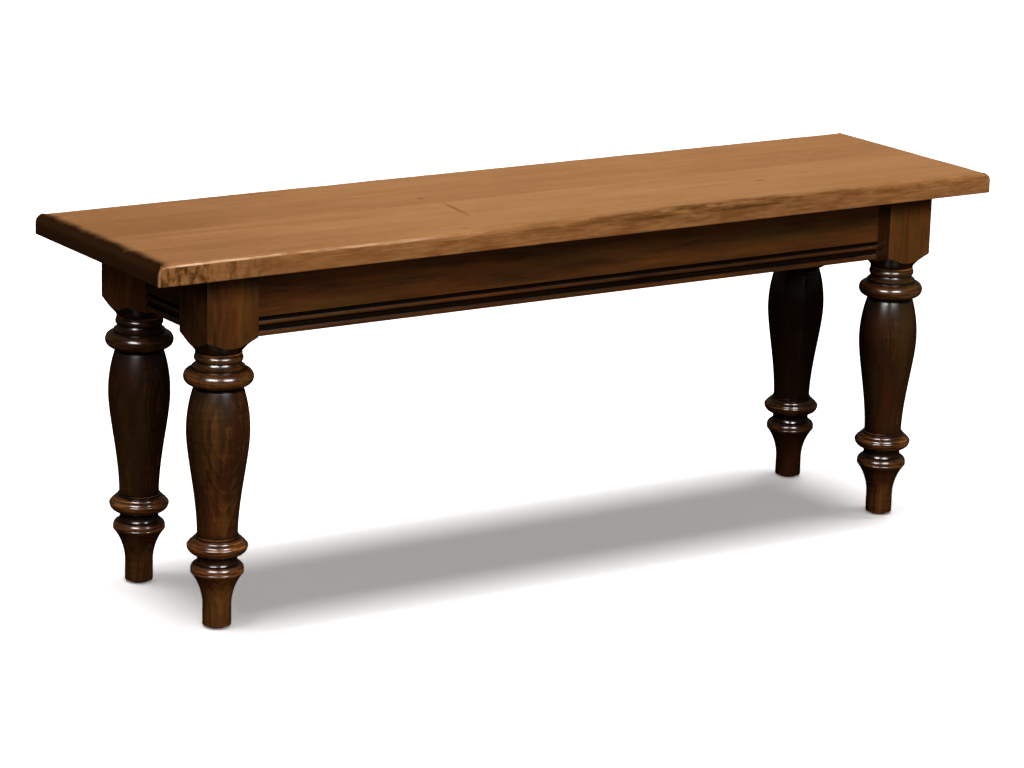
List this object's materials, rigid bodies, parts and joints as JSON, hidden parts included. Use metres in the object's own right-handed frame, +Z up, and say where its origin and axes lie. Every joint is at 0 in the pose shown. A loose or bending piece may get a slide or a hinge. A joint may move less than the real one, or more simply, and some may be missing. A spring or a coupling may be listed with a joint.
{
  "type": "farmhouse bench",
  "caption": "Farmhouse dining bench: an edge-glued plank seat with rounded edges on turned baluster legs, joined by beaded aprons with mortise and tenon joints.",
  "frame": {"origin": "on the floor, under the middle of the seat", "axes": "+X along the bench to a viewer's right, +Y from the front towards the back, +Z up"},
  "size_m": [1.2192, 0.3174, 0.4598],
  "materials": {
    "seat_wood": "light brown stain under satin lacquer",
    "leg_wood": "dark walnut stain under gloss lacquer",
    "apron_wood": "dark walnut stain under satin lacquer",
    "inner_wood": "planed hardwood, sealed",
    "screw_steel": "zinc-plated steel",
    "glide_plastic": "moulded nylon"
  },
  "bodies": {
    "root": {"apron_back": "apron_wood", "apron_front": "apron_wood", "apron_left": "apron_wood", "apron_right": "apron_wood", "brace_screws": "screw_steel", "button_screws": "screw_steel", "centre_rail": "inner_wood", "corner_brace_back_left": "inner_wood", "corner_brace_back_right": "inner_wood", "corner_brace_front_left": "inner_wood", "corner_brace_front_right": "inner_wood", "glide_back_left": "glide_plastic", "glide_back_right": "glide_plastic", "glide_front_left": "glide_plastic", "glide_front_right": "glide_plastic", "glide_nails": "screw_steel", "leg_back_left": "leg_wood", "leg_back_right": "leg_wood", "leg_front_left": "leg_wood", "leg_front_right": "leg_wood", "rail_screws": "screw_steel", "seat_board_1": "seat_wood", "seat_board_2": "seat_wood", "seat_board_3": "seat_wood", "seat_board_4": "seat_wood", "top_button_back_1": "inner_wood", "top_button_back_2": "inner_wood", "top_button_back_3": "inner_wood", "top_button_back_4": "inner_wood", "top_button_front_1": "inner_wood", "top_button_front_2": "inner_wood", "top_button_front_3": "inner_wood", "top_button_front_4": "inner_wood"}
  },
  "joints": []
}
